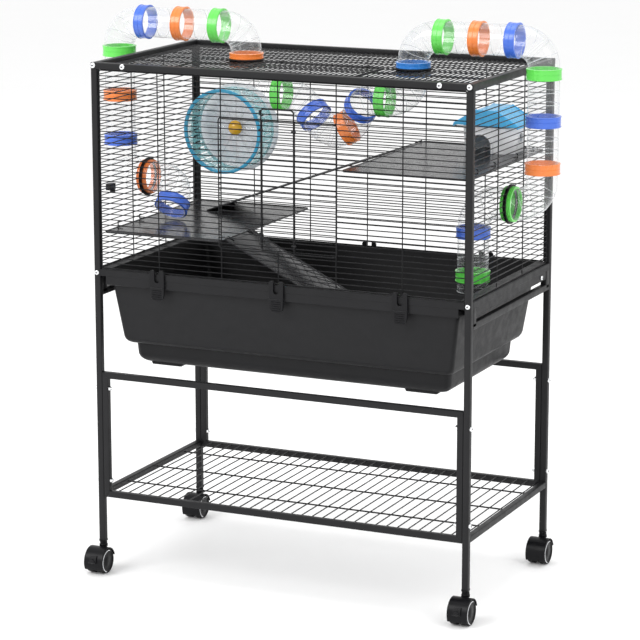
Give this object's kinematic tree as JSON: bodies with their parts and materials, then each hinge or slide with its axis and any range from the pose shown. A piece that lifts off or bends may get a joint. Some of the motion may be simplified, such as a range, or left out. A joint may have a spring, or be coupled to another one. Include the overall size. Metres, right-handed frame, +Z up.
{
  "type": "hamster cage",
  "caption": "Rolling black wire hamster cage on a stand: deep tray, clear tunnels with coloured rings, exercise wheel, platforms, ramps and a small house.",
  "frame": {"origin": "on the floor, under the centre of the whole object's box", "axes": "+Z up, -Y out of the front door, +X to the right seen from the front"},
  "size_m": [0.9792, 0.492, 1.1226],
  "materials": {
    "steel": "satin black powder coat",
    "wire": "semi-gloss black coated wire",
    "tray": "fine satin black moulding",
    "plastic": "satin black moulding",
    "platform": "semi-gloss dark grey sheet",
    "clear": "clear, glossy",
    "orange": "semi-gloss",
    "blue": "semi-gloss",
    "cyan": "translucent",
    "frost": "translucent, frosted",
    "amber": "glossy",
    "roof": "semi-gloss",
    "wall": "milky, translucent"
  },
  "bodies": {
    "cage": {"leg_front_left": "steel", "leg_front_right": "steel", "leg_rear_left": "steel", "leg_rear_right": "steel", "top_frame": "steel", "front_lower_frame": "steel", "rear_lower_frame": "steel", "shelf_rail_left": "steel", "shelf_rail_right": "steel", "tray_rail_left": "steel", "tray_rail_right": "steel", "shelf_grille": "wire", "front_panel": "wire", "rear_panel": "wire", "left_panel": "wire", "right_panel": "wire", "top_panel": "wire", "side_port_collar_left": "plastic", "side_port_collar_right": "plastic", "tray": "tray", "lower_platform": "platform", "upper_platform": "platform", "tunnel_outer_left": "clear", "tunnel_outer_right": "clear", "tunnel_inner_left": "clear", "tunnel_inner_right": "clear", "tunnel_roof_loop": "clear", "roof_port_collar_left": "orange", "roof_port_collar_right": "blue", "exercise_wheel_stand": "frost", "house_walls": "wall"},
    "caster_front_left": {"caster_housing_front_left": "plastic"},
    "caster_front_left_wheels": {"caster_wheels_front_left": "plastic"},
    "caster_front_left_brake": {"caster_brake_front_left": "plastic"},
    "caster_front_right": {"caster_housing_front_right": "plastic"},
    "caster_front_right_wheels": {"caster_wheels_front_right": "plastic"},
    "caster_front_right_brake": {"caster_brake_front_right": "plastic"},
    "caster_rear_left": {"caster_housing_rear_left": "plastic"},
    "caster_rear_left_wheels": {"caster_wheels_rear_left": "plastic"},
    "caster_rear_right": {"caster_housing_rear_right": "plastic"},
    "caster_rear_right_wheels": {"caster_wheels_rear_right": "plastic"},
    "wheel": {"exercise_wheel": "cyan", "exercise_wheel_hub_cap": "amber"},
    "front_door": {"front_door": "wire"},
    "front_door_latch": {"front_door_latch": "wire"},
    "top_door": {"top_door": "wire"},
    "top_door_latch": {"top_door_latch": "plastic"},
    "tray_clip_front_left": {"tray_clip_front_left": "plastic"},
    "tray_clip_front_centre": {"tray_clip_front_centre": "plastic"},
    "tray_clip_front_right": {"tray_clip_front_right": "plastic"},
    "tray_clip_rear_left": {"tray_clip_rear_left": "plastic"},
    "tray_clip_rear_centre": {"tray_clip_rear_centre": "plastic"},
    "tray_clip_rear_right": {"tray_clip_rear_right": "plastic"},
    "lower_ramp": {"lower_ramp": "platform"},
    "upper_ramp": {"upper_ramp": "platform"},
    "house_roof": {"house_roof": "roof"},
    "side_catch": {"side_catch": "plastic"}
  },
  "joints": [
    {"name": "caster_front_left_swivel", "type": "hinge", "parent": "cage", "child": "caster_front_left", "pos_m": [-0.39365, -0.19448, 0.061], "axis": [0, 0, 1], "continuous": true},
    {"name": "caster_front_left_roll", "type": "hinge", "parent": "caster_front_left", "child": "caster_front_left_wheels", "pos_m": [-0.39365, -0.21247, 0.025], "axis": [1, 0, 0], "continuous": true},
    {"name": "caster_front_left_brake_press", "type": "hinge", "parent": "caster_front_left", "child": "caster_front_left_brake", "pos_m": [-0.39365, -0.21247, 0.025], "axis": [1, 0, 0], "range_deg": [0, 12]},
    {"name": "caster_front_right_swivel", "type": "hinge", "parent": "cage", "child": "caster_front_right", "pos_m": [0.39365, -0.19448, 0.061], "axis": [0, 0, 1], "continuous": true},
    {"name": "caster_front_right_roll", "type": "hinge", "parent": "caster_front_right", "child": "caster_front_right_wheels", "pos_m": [0.39365, -0.21247, 0.025], "axis": [1, 0, 0], "continuous": true},
    {"name": "caster_front_right_brake_press", "type": "hinge", "parent": "caster_front_right", "child": "caster_front_right_brake", "pos_m": [0.39365, -0.21247, 0.025], "axis": [1, 0, 0], "range_deg": [0, 12]},
    {"name": "caster_rear_left_swivel", "type": "hinge", "parent": "cage", "child": "caster_rear_left", "pos_m": [-0.39365, 0.23283, 0.061], "axis": [0, 0, 1], "continuous": true},
    {"name": "caster_rear_left_roll", "type": "hinge", "parent": "caster_rear_left", "child": "caster_rear_left_wheels", "pos_m": [-0.39365, 0.21482, 0.025], "axis": [1, 0, 0], "continuous": true},
    {"name": "caster_rear_right_swivel", "type": "hinge", "parent": "cage", "child": "caster_rear_right", "pos_m": [0.39365, 0.23283, 0.061], "axis": [0, 0, 1], "continuous": true},
    {"name": "caster_rear_right_roll", "type": "hinge", "parent": "caster_rear_right", "child": "caster_rear_right_wheels", "pos_m": [0.39365, 0.21482, 0.025], "axis": [1, 0, 0], "continuous": true},
    {"name": "exercise_wheel_spin", "type": "hinge", "parent": "cage", "child": "wheel", "pos_m": [-0.283, 0.16667, 0.858], "axis": [0, 1, 0], "continuous": true},
    {"name": "front_door_hinge", "type": "hinge", "parent": "cage", "child": "front_door", "pos_m": [0, -0.19778, 0.684], "axis": [1, 0, 0], "range_deg": [0, 120]},
    {"name": "front_door_latch_lift", "type": "slide", "parent": "front_door", "child": "front_door_latch", "axis": [0, 0, 1], "range_m": [0, 0.016]},
    {"name": "top_door_hinge", "type": "hinge", "parent": "cage", "child": "top_door", "pos_m": [0, -0.00082, 1.0255], "axis": [-1, 0, 0], "range_deg": [0, 110]},
    {"name": "top_door_latch_slide", "type": "slide", "parent": "top_door", "child": "top_door_latch", "axis": [0, -1, 0], "range_m": [0, 0.01]},
    {"name": "tray_clip_front_left_swing", "type": "hinge", "parent": "cage", "child": "tray_clip_front_left", "pos_m": [-0.258, -0.20433, 0.59], "axis": [1, 0, 0], "range_deg": [0, 40]},
    {"name": "tray_clip_front_centre_swing", "type": "hinge", "parent": "cage", "child": "tray_clip_front_centre", "pos_m": [0, -0.20433, 0.59], "axis": [1, 0, 0], "range_deg": [0, 40]},
    {"name": "tray_clip_front_right_swing", "type": "hinge", "parent": "cage", "child": "tray_clip_front_right", "pos_m": [0.258, -0.20433, 0.59], "axis": [1, 0, 0], "range_deg": [0, 40]},
    {"name": "tray_clip_rear_left_swing", "type": "hinge", "parent": "cage", "child": "tray_clip_rear_left", "pos_m": [-0.258, 0.24268, 0.59], "axis": [-1, 0, 0], "range_deg": [0, 40]},
    {"name": "tray_clip_rear_centre_swing", "type": "hinge", "parent": "cage", "child": "tray_clip_rear_centre", "pos_m": [0, 0.24268, 0.59], "axis": [-1, 0, 0], "range_deg": [0, 40]},
    {"name": "tray_clip_rear_right_swing", "type": "hinge", "parent": "cage", "child": "tray_clip_rear_right", "pos_m": [0.258, 0.24268, 0.59], "axis": [-1, 0, 0], "range_deg": [0, 40]},
    {"name": "lower_ramp_lift", "type": "hinge", "parent": "cage", "child": "lower_ramp", "pos_m": [-0.1275, -0.10583, 0.696], "axis": [0, -1, 0], "range_deg": [0, 27]},
    {"name": "upper_ramp_lift", "type": "hinge", "parent": "cage", "child": "upper_ramp", "pos_m": [0.1275, 0.16317, 0.852], "axis": [0, 1, 0], "range_deg": [0, 5]},
    {"name": "house_roof_lift", "type": "slide", "parent": "cage", "child": "house_roof", "axis": [0, 0, 1], "range_m": [0, 0.05]},
    {"name": "side_catch_turn", "type": "hinge", "parent": "cage", "child": "side_catch", "pos_m": [-0.40145, -0.12582, 0.775], "axis": [-1, 0, 0], "range_deg": [0, 90]}
  ]
}
